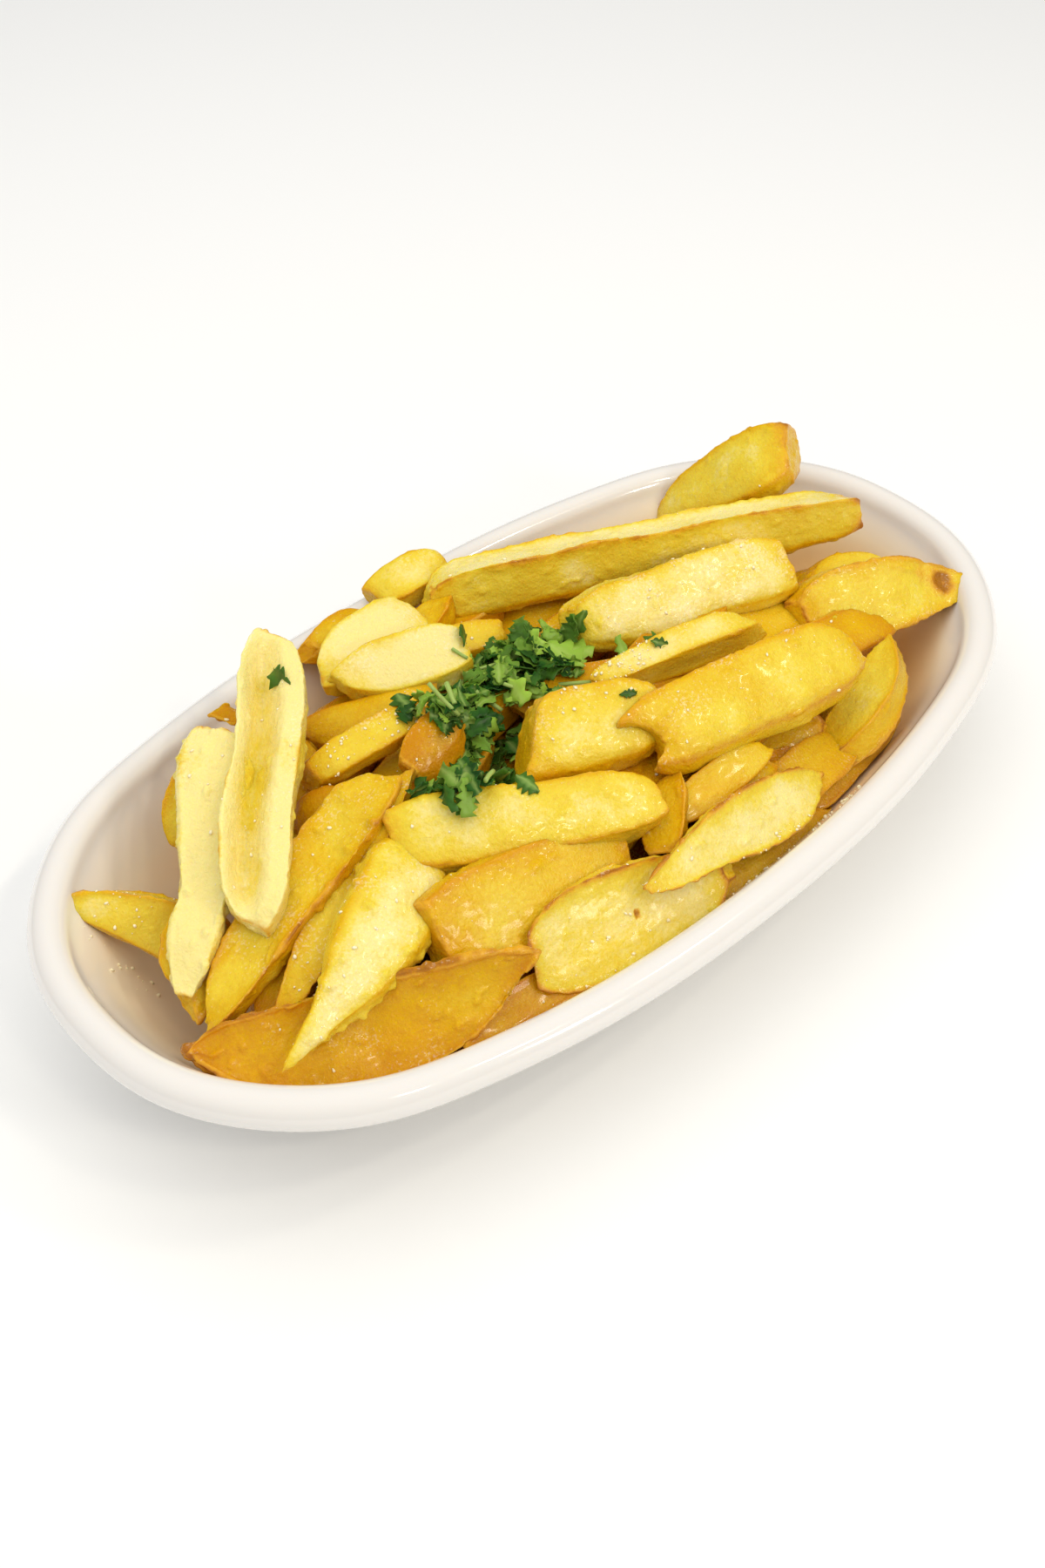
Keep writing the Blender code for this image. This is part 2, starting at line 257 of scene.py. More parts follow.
def onOval(turn, inset, height, shrink=1.0):
    d = dishSettings
    power = 2.0 / d["squareness"]
    along = math.copysign(abs(math.cos(turn)) ** power, math.cos(turn))
    across = math.copysign(abs(math.sin(turn)) ** power, math.sin(turn))
    swell = d["shoulderSwell"] * math.exp(-(((abs(along) - d["shoulderAt"]) / d["shoulderSpread"]) ** 2))
    lift = d["endLift"] * abs(along) ** 1.5
    lift *= eased((height - d["levelBelow"]) / (d["beadHeight"] - d["levelBelow"]))
    return Vector(((d["length"] / 2 - inset) * along * shrink,
                   (d["width"] / 2 - inset) * across * (1.0 + swell) * shrink,
                   height + lift))


def makeDish():
    d = dishSettings
    # the section as (inset from the outer edge, height, share of the way out from the centre)
    section = [(39.0, d["floorHeight"], 0.0)]
    section += [(39.0, d["floorHeight"], s) for s in reversed(d["floorRings"])]
    section += [(i, h, 1.0) for i, h in d["inner"]]
    for step in range(13):
        angle = math.radians(180.0 - step * 22.5)
        section.append((d["beadRadius"] * (1.0 - math.cos(angle)),
                        d["beadHeight"] + d["beadRadius"] * math.sin(angle), 1.0))
    section += [(i, h, 1.0) for i, h in d["outer"]]
    section += [(39.0, 1.9, s) for s in d["floorRings"]] + [(39.0, 1.9, 0.0)]
    bm = bmesh.new()
    # spun as a round blank whose radius only counts the section's points
    blank = [bm.verts.new((i + 1.0 if 0 < i < len(section) - 1 else 0.0, 0.0, float(i))) for i in range(len(section))]
    edges = [bm.edges.new(pair) for pair in zip(blank, blank[1:])]
    bmesh.ops.spin(bm, geom=blank + edges, axis=up, cent=(0, 0, 0), angle=2 * math.pi, steps=d["sides"], use_merge=True)
    bmesh.ops.remove_doubles(bm, verts=bm.verts, dist=1e-4)
    oilAndBounceLight = bm.verts.layers.float.new("oilAndBounceLight")
    for vert in bm.verts:
        place = round(vert.co.z)
        turned = math.atan2(vert.co.y, vert.co.x)
        inset, height, shrink = section[place]
        if place < d["oilAndBounceUpTo"]:
            # the oil tint and painted bounce light, most of it towards the right and the near side
            share = 0.72 + 0.18 * math.cos(turned) - 0.14 * math.sin(turned)
            vert[oilAndBounceLight] = eased((d["oilAndBounceTop"] - height) / d["oilAndBounceFade"]) * share
        vert.co = onOval(turned, inset, height, shrink) * mm
    bmesh.ops.recalc_face_normals(bm, faces=bm.faces)
    obj = toObject(bm, "oval_dish", porcelain)
    smoothed(obj, 1)
    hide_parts("dish")
    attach(obj, "root")
    return obj


dish = makeDish()
print("dish made")


frySettings = {
    "stations": [0.0, 0.15, 0.5, 0.85, 1.0],  # where along a fry its widths are given
    "cageStep": 5.0, "endLoop": 1.6, "blunt": (0.4, 0.75), "endReach": 4.5, "slant": 2.5,
    "cornerPull": 0.8, "thickWithWidth": 0.4, "sideHollow": 0.5, "keel": 0.45, "lean": 0.22,
    "waver": 1.0, "waverSize": 15.0, "leastSoft": 0.06, "strayTurn": 9.0, "strayBend": 1.6, "strayArch": 1.2,
    "lumpSize": 11.0, "lumpHeight": 0.5, "rippleSize": 4.2, "rippleHeight": 0.2,
    "blisterSize": 2.2, "blisterHeight": 1.1, "grainSize": 1.3, "grainHeight": 0.12,
    "crustSize": 1.7, "crustHeight": 0.6, "crustLift": 0.3,
    # sides partly golden from frying and partly painted shade; the underside and the channel floor are painted shade
    "sideGoldAndShade": 0.2, "underShade": 0.3, "brinkGold": 0.36, "channelShade": 0.24, "burntReach": 5.0,
    "fineFrom": 650.0,  # a fry longer times wider than this is divided once more
}

# Each fry: name, start, end, widths, thickness, roll, then what is special about it. In mm
# and degrees. Its width lies level at roll 0, and a positive roll lifts its left edge.
# The gold of fries lying low between others, such as F24 and F38, is set deeper partly as painted shade.
shownFries = [
    ("F01", (82, 44, 26), (101, 19, 52), (6, 13, 20, 23, 20), 13, 25, {"gold": 0.26, "crisp": 0.45, "burntEnd": 0.4, "soft": {(-1, 1): 0.8}}),
    ("F02", (5, 49, 40.5), (100, -1, 44), (10, 11, 10.5, 10, 9), 14, -18, {"arch": 1.5, "hollow": 1.8, "gold": 0.0, "crisp": 0.8, "burntEnd": 0.6, "keel": 0.05, "lean": 0, "twist": 0, "soft": {(-1, 1): 0.05, (1, 1): 0.05}}),
    ("F03", (-2, 60, 37), (16, 56, 39), (12, 12, 12, 12, 12), 10, 20, {"gold": 0.12, "crisp": 0.3}),
    ("F04", (22, 17, 41), (75.5, -1.5, 40.5), (15, 18, 19, 19, 17), 10, 36, {"hollow": -0.6, "gold": 0.03, "crisp": 0.3, "dust": 0.16, "ends": (0.6, 0.85), "soft": {(-1, 1): 0.9, (1, 1): 0.15}}),
    ("F05", (10, -5, 45), (50, -14, 45), (5, 6, 7, 7, 6), 9, 15, {"gold": 0.1, "crisp": 0.5, "dust": 0.1, "soft": {(-1, 1): 0.5}}),
    ("F06", (-1, -26, 47), (58.5, -36, 46), (17, 20, 21, 20, 13), 10, 32, {"hollow": -1, "gold": 0.32, "crisp": 0.6, "dust": 0.05, "notch": 6, "ends": (0.7, 0.6), "soft": {(-1, 1): 0.8, (1, 1): 0.1}}),
    ("F07", (-17, -9, 46), (12, -22, 46), (20, 21, 20, 18, 15), 13, 30, {"hollow": -1, "gold": 0.24, "crisp": 0.5, "dust": 0.1, "cutStart": (3.5, 0), "ends": (0.9, 0.6), "lean": 0, "soft": {(-1, 1): 0.7, (1, 1): 0.1}}),
    ("F08a", (77, -33, 35), (44, -44, 27), (2, 8, 11, 12, 8), 9, 20, {"bow": 4.5, "gold": 0.3, "crisp": 0.8, "soft": {(-1, 1): 0.1, (1, 1): 0.1}}),
    ("F08b", (33, -32, 31), (48, -40, 29), (5, 10, 12, 12, 8), 8, 25, {"gold": 0.5, "crisp": 0.9}),
    ("F09", (68, -13, 35), (109, -30.5, 33.5), (14, 19, 19, 13, 6), 12, 35, {"bow": 2, "gold": 0.3, "crisp": 0.9, "dust": 0.04, "burntEnd": 0.3, "lumpy": 1.4, "soft": {(-1, 1): 0.1, (1, 1): 0.1}, "marks": [(0.8, 0.5, 4.5, 0.6), (0.86, 0.4, 2.2, 1.3)]}),
    ("F10", (81, -3, 35), (101, -15, 33), (11, 11, 11, 11, 9), 9, 20, {"gold": 0.32, "crisp": 0.45}),
    ("F12", (-20, -50, 38), (34, -49, 30), (2, 8, 14, 12, 5), 5, 42, {"bow": 1, "gold": 0.08, "crisp": 1.1, "keel": 0.75, "lean": 0, "soft": {(-1, 1): 0.05, (1, 1): 0.05}}),
    ("F13", (-46, -43.6, 31), (0, -53.8, 30.8), (14, 21.5, 22, 16.5, 6), 5, 48, {"hollow": 1.2, "gold": 0.1, "crisp": 1.05, "dust": 0.04, "keel": 0.75, "ends": (0.8, 0.5), "twist": 0, "lean": 0, "burntStart": 0.35, "soft": {(-1, 1): 0.05, (1, 1): 0.05}, "marks": [(0.52, 0.1, 0.7, 1.1)]}),
    ("F14", (3, -33, 40), (-9, -43, 35), (10, 11, 11, 11, 9), 8, 20, {"gold": 0.55, "crisp": 0.6}),
    ("F15", (-2, -38, 37), (24, -39, 39), (5, 9, 10, 9, 6), 8, 30, {"gold": 0.45, "crisp": 0.6}),
    ("F16", (12, -42, 33), (27, -40, 35), (3, 6, 8, 8, 6), 7, 20, {"gold": 0.6, "crisp": 0.7}),
    ("F17", (27, -38, 30), (41, -44, 28), (4, 7, 8, 7, 4), 6, 20, {"gold": 0.85, "crisp": 1.0}),
    ("F19", (-53.5, -8, 42), (-6, -36.5, 42), (14, 17, 16, 14, 12), 11, 30, {"hollow": -0.6, "gold": 0.14, "crisp": 0.8, "keel": 0.1, "ends": (0.85, 0.6), "soft": {(1, 1): 0.5, (-1, 1): 0.3, (-1, -1): 0.05}}),
    ("F20", (-61, -30, 36.5), (-17, -38, 34), (19, 23, 24, 22, 18), 8, 42, {"hollow": -0.5, "gold": 0.44, "crisp": 0.6, "keel": 0.6, "ends": (0.93, 0.6), "lean": 0, "soft": {(-1, 1): 0.1}}),
    ("F21", (-97, -29.5, 30.5), (-49, -11, 41), (2, 7, 18, 22, 18), 11, 22, {"bow": -3, "arch": 3.5, "gold": 0.05, "crisp": 0.35, "lumpy": 1.9, "dust": 0.08, "soft": {(-1, 1): 0.8, (1, 1): 0.6}}),
    ("F22", (-101, -10, 27), (-46, 2, 47), (5, 11, 15, 15, 9), 10, -5, {"bow": 2, "hollow": 1.4, "gold": 0.4, "crisp": 0.85, "lumpy": 2.1, "dust": 0.1, "keel": 0.6, "soft": {(-1, 1): 0.05, (1, 1): 0.05}}),
    ("F23", (-90.5, -18, 27), (-42, 2, 45), (4, 7, 8, 9, 9), 12, 0, {"gold": 0.42, "crisp": 1.0, "lumpy": 2.1, "dust": 0.1, "soft": {(-1, 1): 0.1, (1, 1): 0.1}}),
    ("F24", (-108.5, -11.5, 26.5), (-49, -44.7, 34.3), (3, 14.5, 22, 15, 4), 7, 48, {"bow": -5.5, "hollow": 1.6, "gold": 0.68, "crisp": 1.15, "lumpy": 2.1, "dust": 0.06, "keel": 0.7, "soft": {(-1, 1): 0.05, (1, 1): 0.05}}),
    ("F25", (-106.5, 33, 31.5), (-85, 3, 18.5), (1, 8, 13.5, 16, 14), 8, 42, {"bow": 2.5, "gold": 0.25, "crisp": 0.8, "lumpy": 1.6, "soft": {(1, 1): 0.05}}),
    ("F26", (-85.5, -4, 38.5), (-42, 43.5, 55.5), (11, 14.5, 15.5, 14.5, 13), 13, 4, {"channel": (7.0, 0.26, 0.56), "gold": -0.07, "crisp": 0.5, "dust": 0.06, "keel": 0.2, "brink": -0.05, "ends": (0.45, 0.6), "lean": 0, "twist": 0, "soft": {(-1, 1): 0.3, (1, 1): 0.15}}),
    ("F27", (-101, -1, 30), (-64, 35, 49), (8, 11, 13, 18, 18), 11, 0, {"bow": -1, "hollow": 1.5, "gold": -0.06, "crisp": 0.7, "lumpy": 2.0, "brink": -0.08}),
    ("F27b", (-101.5, -2, 27), (-89, 12, 32), (6, 9, 10, 10, 9), 6, -10, {"channel": (1.5, 0, 0.6), "gold": 0.3, "crisp": 0.8}),
    ("F28", (-80, 29, 34), (-70, 35, 42), (9, 11, 12, 12, 9), 9, 0, {"gold": 0.3, "crisp": 0.4}),
    ("F29", (-57, 42, 45), (-52, 42, 45), (8, 8, 8, 8, 8), 6, 0, {"gold": 0.8, "crisp": 0.9}),
    ("F30", (-26, 57, 37), (-7, 55, 36), (6, 8, 10, 12, 11), 9, 10, {"gold": 0.5, "crisp": 0.5}),
    ("F31", (-31, 43, 41), (0, 47, 39), (10, 13, 15, 15, 14), 10, 20, {"gold": -0.06, "crisp": 0.4, "dust": 0.06}),
    ("F32", (-31, 37, 43), (-2, 26, 43), (6, 11, 14, 14, 12), 8, 30, {"gold": -0.06, "crisp": 0.3, "dust": 0.1}),
    ("F33", (-5, 42, 37), (5, 45, 39), (10, 10, 10, 10, 10), 9, -20, {"gold": 0.5, "crisp": 0.5}),
    ("F34", (-10, 37, 39), (9, 29, 39), (10, 10, 10, 10, 10), 8, 20, {"gold": 0.4, "crisp": 0.5}),
    ("F35", (-42, 34, 35), (-15, 23, 37), (14, 14, 14, 14, 14), 12, 20, {"gold": 0.6, "crisp": 0.7}),
    ("F36", (-53, 19, 41), (-26, 15, 45), (7, 9, 9, 9, 7), 9, 15, {"gold": 0.3, "crisp": 0.6, "dust": 0.1}),
    ("F37", (-38, 4, 43), (-23, 6, 47), (10, 12, 13, 12, 10), 11, 20, {"gold": 0.8, "crisp": 0.9, "lumpy": 1.8}),
    ("F38", (-59, 16, 33), (-48, 10, 37), (12, 12, 12, 12, 12), 12, 20, {"gold": 0.8, "crisp": 0.7}),
]

buriedFries = [
    ((12, 38, 27), (80, 12, 29), (11, 13, 14, 13, 10), 12, 10),
    ((48, 38, 17), (92, 14, 22), (9, 12, 13, 12, 9), 11, -15),
    ((-55, 40, 25), (-2, 44, 27), (9, 12, 13, 12, 11), 11, 15),
    ((-78, 28, 19), (-28, 34, 20), (9, 13, 14, 13, 12), 12, 0),
    ((-18, 20, 33), (40, 22, 32), (11, 14, 15, 14, 12), 12, 5),
    ((-60, -8, 32), (-15, 8, 34), (11, 14, 15, 14, 12), 12, -5),
    ((-30, -14, 34), (30, -10, 36), (11, 14, 15, 14, 12), 12, 0),
    ((25, -32, 26), (78, -18, 28), (9, 14, 15, 14, 11), 12, 10),
    ((52, 6, 30), (98, -8, 25), (10, 13, 14, 13, 9), 12, 5),
    ((-92, 14, 18), (-60, -28, 20), (9, 13, 14, 13, 10), 12, 0),
    ((-70, -30, 22), (-15, -44, 20), (9, 13, 14, 13, 10), 12, 10),
    ((-10, -45, 22), (45, -38, 22), (9, 13, 14, 13, 10), 12, 10),
    ((20, 20, 20), (75, 30, 14), (10, 13, 14, 13, 10), 12, 0),
    ((60, -35, 14), (95, 0, 18), (10, 13, 14, 13, 9), 12, 0),
    ((-25, 48, 33), (22, 42, 34), (10, 12, 13, 12, 10), 11, 0),
    ((-20, -25, 33), (40, -30, 36), (9, 13, 14, 13, 9), 11, 15),
    ((0, -46, 27), (52, -42, 27), (9, 12, 13, 12, 8), 9, 25),
    ((-52, -20, 32), (-5, -32, 34), (9, 13, 14, 13, 10), 11, 20),
    ((38, -18, 33), (86, -26, 31), (9, 13, 14, 13, 9), 11, 10),
    ((18, -5, 36), (62, 6, 36), (9, 13, 14, 13, 10), 11, 0),
    ((-46, 10, 33), (2, 16, 37), (9, 12, 13, 12, 10), 10, 5),
    ((-72, 4, 30), (-45, 36, 34), (9, 12, 13, 12, 9), 10, 0),
    ((-92, -16, 22), (-60, 10, 31), (8, 12, 13, 12, 9), 10, 0),
    ((-4, 6, 38), (32, -10, 38), (9, 12, 13, 12, 9), 10, 10),
    ((44, -6, 34), (92, -11, 30), (9, 12, 13, 12, 9), 10, 10),
    ((-14, -52, 23.5), (34, -51.5, 24), (5, 8, 9, 8, 5), 6, 35),
    ((26, -49, 24), (66, -43.5, 24), (5, 8, 9, 8, 5), 6, 30),
    ((-64, -44.5, 24), (-14, -51.5, 23.5), (5, 8, 9, 8, 5), 6, 35),
]


def along(values, u):
    # a smooth curve through the values given at the five stations
    stops = frySettings["stations"]
    i = 0
    while i < 3 and u > stops[i + 1]:
        i += 1

    def slope(j):
        a, b = max(j - 1, 0), min(j + 1, 4)
        return (values[b] - values[a]) / (stops[b] - stops[a])

    h = stops[i + 1] - stops[i]
    t = (u - stops[i]) / h
    return ((2 * t ** 3 - 3 * t ** 2 + 1) * values[i] + (t ** 3 - 2 * t ** 2 + t) * h * slope(i)
            + (3 * t ** 2 - 2 * t ** 3) * values[i + 1] + (t ** 3 - t ** 2) * h * slope(i + 1))


cageLayers = ("edge", "side", "under", "run", "across", "brink", "pit")


def fryCage(start, end, widths, thickness, roll, seed, bow=0.0, arch=0.0, hollow=0.4, twist=None,
            cutStart=(0, 0), cutEnd=(0, 0), notch=0.0, channel=None, soft=None, keel=None, ends=None, lean=None):
    # a cube cut into a coarse grid, each point then moved to its place on the fry. Its
    # layers remember the corner edges, the sides, the underside and the way along.
    s = frySettings
    start, end = Vector(start), Vector(end)
    length = (end - start).length
    run = (end - start) / length
    side = up.cross(run).normalized()
    face = run.cross(side)
    lengthCuts = max(5, round(length / s["cageStep"]))
    bm = bmesh.new()
    bmesh.ops.create_cube(bm, size=2.0)
    dice = random.Random(seed)
    stray = dice.uniform(-1.0, 1.0) * s["strayTurn"]
    twist = stray if twist is None else twist
    # how far each long edge is rounded off, 0 sharp to 1 round
    corners = {(a, b): dice.random() ** 1.5 for a in (-1, 1) for b in (-1, 1)}
    corners.update(soft or {})
    drifts = {c: dice.uniform(0.0, 90.0) for c in corners}
    blunt = [dice.uniform(*s["blunt"]) for _ in range(2)]
    blunt = ends or blunt
    slants = [[dice.uniform(-1.0, 1.0) * s["slant"] for _ in range(2)] for _ in range(2)]
    strayLean = dice.uniform(-1.0, 1.0) * s["lean"]
    lean = strayLean if lean is None else lean
    arch += dice.uniform(-1.0, 1.0) * s["strayArch"]
    keel = s["keel"] if keel is None else keel
    for axis, cuts in ((0, lengthCuts), (1, 11 if channel else 5), (2, 3)):
        across = [e for e in bm.edges if abs(e.verts[0].co[axis] - e.verts[1].co[axis]) > 1e-3]
        bmesh.ops.subdivide_edges(bm, edges=across, cuts=cuts, use_grid_fill=True)
    for name in cageLayers:
        bm.verts.layers.float.new(name)
    layers = {name: bm.verts.layers.float[name] for name in cageLayers}
    endShare = min(s["endLoop"] / length, 0.2)
    for vert in bm.verts:
        x, v, w = vert.co
        step = round((x + 1.0) / 2.0 * (lengthCuts + 1))
        if step == 0 or step == lengthCuts + 1:
            u = float(step > 0)
        else:
            u = endShare + (1.0 - 2.0 * endShare) * (step - 1) / (lengthCuts - 1)
        outer = [abs(abs(c) - 1.0) < 1e-3 for c in (x, v, w)]
        corner = (1 if v > 0 else -1, 1 if w > 0 else -1)
        vert[layers["edge"]] = float(sum(outer) >= 2) * (1.0 if outer[0] else 1.0 - 0.8 * corners[corner])
        vert[layers["side"]] = float(outer[1])
        vert[layers["under"]] = float(w < -0.99)
        vert[layers["run"]] = u
        vert[layers["across"]] = v * along(widths, u) / 2
        vert[layers["brink"]] = max(abs(v * w) ** 2, abs(2.0 * u - 1.0) ** 8)
        pull = s["cornerPull"]
        across = v * (1.0 + (0.3 if channel else pull) * (1.0 - abs(v)))
        deep = w * (1.0 + pull * (1.0 - abs(w)))
        middle = 4.0 * u * (1.0 - u)
        halfWidth = along(widths, u) / 2
        halfThick = thickness / 2 * (halfWidth * 2 / max(widths)) ** s["thickWithWidth"]
        sunk = (1.0 - v * v) * math.sqrt(middle)
        # each corner lies between a square's and a circle's
        rounded = s["leastSoft"] + sum(r * (1.0 + a * v) * (1.0 + b * w) / 4.0 for (a, b), r in corners.items())
        fromEnd = min(u, 1.0 - u) * length
        tip = 1.0 - (1.0 - blunt[u > 0.5]) * max(0.0, 1.0 - fromEnd / s["endReach"]) ** 2
        y = halfWidth * across * math.sqrt(1.0 - min(rounded, 1.0) * deep * deep / 2.0) * tip + lean * halfThick * deep
        z = halfThick * deep * math.sqrt(1.0 - min(rounded, 1.0) * across * across / 2.0) * tip
        for (a, b), drift in drifts.items():
            share = (1.0 + a * v) * (1.0 + b * w) / 4.0 * min(1.0, halfWidth / 4.0)
            y += share * s["waver"] * noise.noise((u * length / s["waverSize"], drift, 0.0))
            z += share * s["waver"] * noise.noise((u * length / s["waverSize"], drift, 7.0))
        y -= math.copysign(s["sideHollow"] * (1.0 - w * w) * math.sqrt(middle) * v * v, v)
        if w > 0.0:
            z -= hollow * sunk * w
            if channel:
                # depth, where its middle is across the face, and half its width
                dip, at, half = channel
                pit = w * eased((half - abs(v - at)) / 0.5) * eased(min(u, 1.0 - u) * 7.0)
                z -= dip * pit
                # the pit layer later paints the channel floor deeper gold as painted shade
                vert[layers["pit"]] = pit
        else:
            z *= 1.0 - keel * abs(v) ** 1.6
        turned = math.radians(roll + twist * (u - 0.5))
        sideways = side * math.cos(turned) + face * math.sin(turned)
        outwards = face * math.cos(turned) - side * math.sin(turned)
        shift = ((cutStart[0] + slants[0][0]) * v + (cutStart[1] + slants[0][1]) * w) * (1.0 - u) ** 3
        shift += ((cutEnd[0] + slants[1][0]) * v + (cutEnd[1] + slants[1][1]) * w) * u ** 3
        shift += notch * (1.0 - v * v) * (1.0 - u) ** 4
        centre = start.lerp(end, u) + sideways * bow * middle + outwards * arch * middle
        centre += sideways * s["strayBend"] * noise.noise((u * length / 30.0, seed, 3.0)) * middle
        vert.co = (centre + run * shift + sideways * y + outwards * z) * mm
    return bm


def fryMesh(name, seed, cage, levels, gold=0.5, crisp=0.6, brink=None, lumpy=1.0, marks=(), dust=0.0, burntStart=0.0, burntEnd=0.0, length=60.0):
    # the cage rounded by subdivision, then blistered, crusted and coloured point by point
    s = frySettings
    obj = toObject(cage, name, potato)
    smoothed(obj, levels)
    applied(obj)
    mesh = obj.data
    known = {}
    for k in cageLayers:
        if k in mesh.attributes:
            known[k] = [d.value for d in mesh.attributes[k].data]
            mesh.attributes.remove(mesh.attributes[k])
        else:
            known[k] = [0.0] * len(mesh.vertices)
    painted = {"gold": [], "toast": [], "dust": []}
    drift = Vector((seed * 3.17, seed * 1.73, seed * 2.41))
    normals = [Vector(n.vector) for n in mesh.vertex_normals]
    for i, vert in enumerate(mesh.vertices):
        p = vert.co / mm
        edge = min(known["edge"][i], 1.0)
        lump = noise.noise(p / s["lumpSize"] + drift) * s["lumpHeight"] * lumpy
        ripple = noise.noise(p / s["rippleSize"] + drift) * s["rippleHeight"] * lumpy
        spots = noise.noise(p / s["blisterSize"] + drift)
        blister = max(0.0, spots - 0.32) * s["blisterHeight"] * lumpy
        grain = noise.noise(p / s["grainSize"] + drift) * s["grainHeight"]
        crust = noise.noise(p / s["crustSize"] + drift)
        crusted = edge * crisp * (s["crustLift"] + crust * s["crustHeight"])
        vert.co += normals[i] * (lump + ripple + blister + grain + crusted) * mm
        worn = noise.noise(p / 6.0 + drift * 2.0) + 0.5 * noise.noise(p / 2.2 + drift)
        toast = edge ** 1.5 * crisp * (0.8 + 0.8 * worn)
        run = known["run"][i]
        reach = s["burntReach"] / length
        toast += burntEnd * eased(1.0 - (1.0 - run) / reach) * (0.6 + 0.8 * worn)
        toast += burntStart * eased(1.0 - run / reach) * (0.6 + 0.8 * worn)
        # brown spots, each given by its place along and across, its radius and its strength
        for at, aside, radius, strength in marks:
            off = math.hypot((run - at) * length, known["across"][i] - aside * radius)
            spot = eased(1.5 - off / radius) * (known["under"][i] < 0.1)
            toast += strength * spot * (0.7 + 0.9 * worn)
            vert.co -= normals[i] * 0.5 * spot * mm
        # painted shade: the underside and the channel floor are painted deeper gold, and the sides partly for frying
        # and partly for shade
        deep = s["sideGoldAndShade"] * known["side"][i] + s["underShade"] * known["under"][i]
        deep += (s["brinkGold"] if brink is None else brink) * known["brink"][i] + s["channelShade"] * known["pit"][i]
        painted["gold"].append(gold + deep + 0.12 * worn)
        painted["toast"].append(min(max(toast, 0.0), 1.0))
        painted["dust"].append(0.27 + dust + 0.3 * max(0.0, normals[i].z - 0.4) + 0.25 * noise.noise(p / 7.0))
    for k, values in painted.items():
        mesh.attributes.new(k, "FLOAT", "POINT").data.foreach_set("value", values)
    return obj


finishNames = ("gold", "crisp", "brink", "marks", "lumpy", "dust", "burntStart", "burntEnd")


def makeFries():
    fries = []
    for seed, (name, start, end, widths, thickness, roll, more) in enumerate(shownFries):
        shape = {k: more[k] for k in more if k not in finishNames}
        finish = {k: more[k] for k in more if k in finishNames}
        cage = fryCage(start, end, widths, thickness, roll, seed, **shape)
        length = (Vector(end) - Vector(start)).length
        levels = 3 if length * max(widths) > frySettings["fineFrom"] else 2
        obj = fryMesh("fry_" + name, seed, cage, levels, length=length, **finish)
        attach(obj, "root")
        fries.append(obj)
    return fries


def joined(objects, name):
    # one object out of several, keeping their attributes
    bm = bmesh.new()
    for obj in objects:
        bm.from_mesh(obj.data)
        old = obj.data
        bpy.data.objects.remove(obj)
        bpy.data.meshes.remove(old)
    obj = toObject(bm, name, potato)
    return obj


def makeBuried():
    made = []
    for i, (start, end, widths, thickness, roll) in enumerate(buriedFries):
        cage = fryCage(start, end, widths, thickness, roll, 50 + i)
        length = (Vector(end) - Vector(start)).length
        # painted shade: the buried fries are painted a deeper gold than most fries on top, for the shade low in the
        # heap
        made.append(fryMesh("buried", 50 + i, cage, 1, gold=0.55 + 0.08 * (i % 4), crisp=0.7, length=length))
    # under them a mound that closes the gaps, drawn in at its foot to stay inside the dish, painted the deepest gold as
    # painted shade in the gaps
    mound = bmesh.new()
    bmesh.ops.create_uvsphere(mound, u_segments=64, v_segments=32, radius=1.0)
    for vert in mound.verts:
        place = Vector([c + r * d for c, r, d in zip((-3, -1, 9), (82, 41, 22), vert.co)])
        place.z += 1.5 * noise.noise(place / 9.0)
        place.z = max(place.z, 8.0)
        pulled = 1.0 - 0.22 * eased((17.0 - place.z) / 9.0)
        vert.co = Vector((place.x * pulled, place.y * pulled, place.z)) * mm
    made.append(fryMesh("mound", 99, mound, 1, gold=1.0, crisp=0.0))
    obj = joined(made, "buried_fries")
    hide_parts("fries_heap")
    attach(obj, "root")
    return obj


fries = makeFries()
print(len(fries), "fries made")
buried = makeBuried()
print("buried fries made")


parsleySettings = {
    # the pile's middle line and half width, seen from above
    "spine": [((-37, -10), 8), ((-31, -1), 12), ((-22, 6), 15), ((-9, 10), 14), ((2, 13), 14), ((10, 15), 11), ((15, 14), 7)],
    "gaps": [((-34, 5), 6.0), ((-11, -5), 4.0), ((-20, -16), 5.0)],
    "leaves": 430, "stems": 26, "pile": 6.5, "thickness": 0.25, "crumple": 0.5,
    "size": (2.8, 8.0),
    # single bits: place, size, turn in degrees, how far above what is under it, how young
    "strays": [((-48, 34), 6.5, 55, 0.6, 0.15), ((-26, -20), 6.0, 60, 0.5, 0.1), ((4, -8), 3.5, 20, 0.5, 0.1), ((5, -18), 4.0, 100, 0.5, 0.1),
               ((25, -8), 4.0, 80, 0.5, 0.1), ((34, -18), 4.5, 0, 0.5, 0.1), ((-2, 27), 6.0, 70, 1.0, 0.1), ((-41, -9), 4.5, 30, 0.5, 0.1),
               ((23, 1), 9.0, 20, 2.5, 0.7), ((30, -1), 6.5, 150, 1.5, 0.2), ((13, 10), 10.5, 50, 12.5, 0.8), ((18, 12), 9.0, 80, 11.0, 0.9)],
}

crumbSettings = {
    "size": (0.14, 0.48),
    # patches: middle, half sizes, how many
    "patches": [((16, -5), (9, 5), 130), ((2, -8), (14, 10), 30), ((26, -30), (26, 7), 14), ((45, 5), (28, 8), 35),
                ((-30, -50), (24, 4), 30), ((20, -56), (22, 2.0), 60), ((-75, -25), (20, 12), 30), ((-40, 15), (14, 6), 60),
                ((-98, 22), (10, 10), 50), ((-60, 20), (20, 25), 40), ((0, 0), (100, 50), 80)],
}


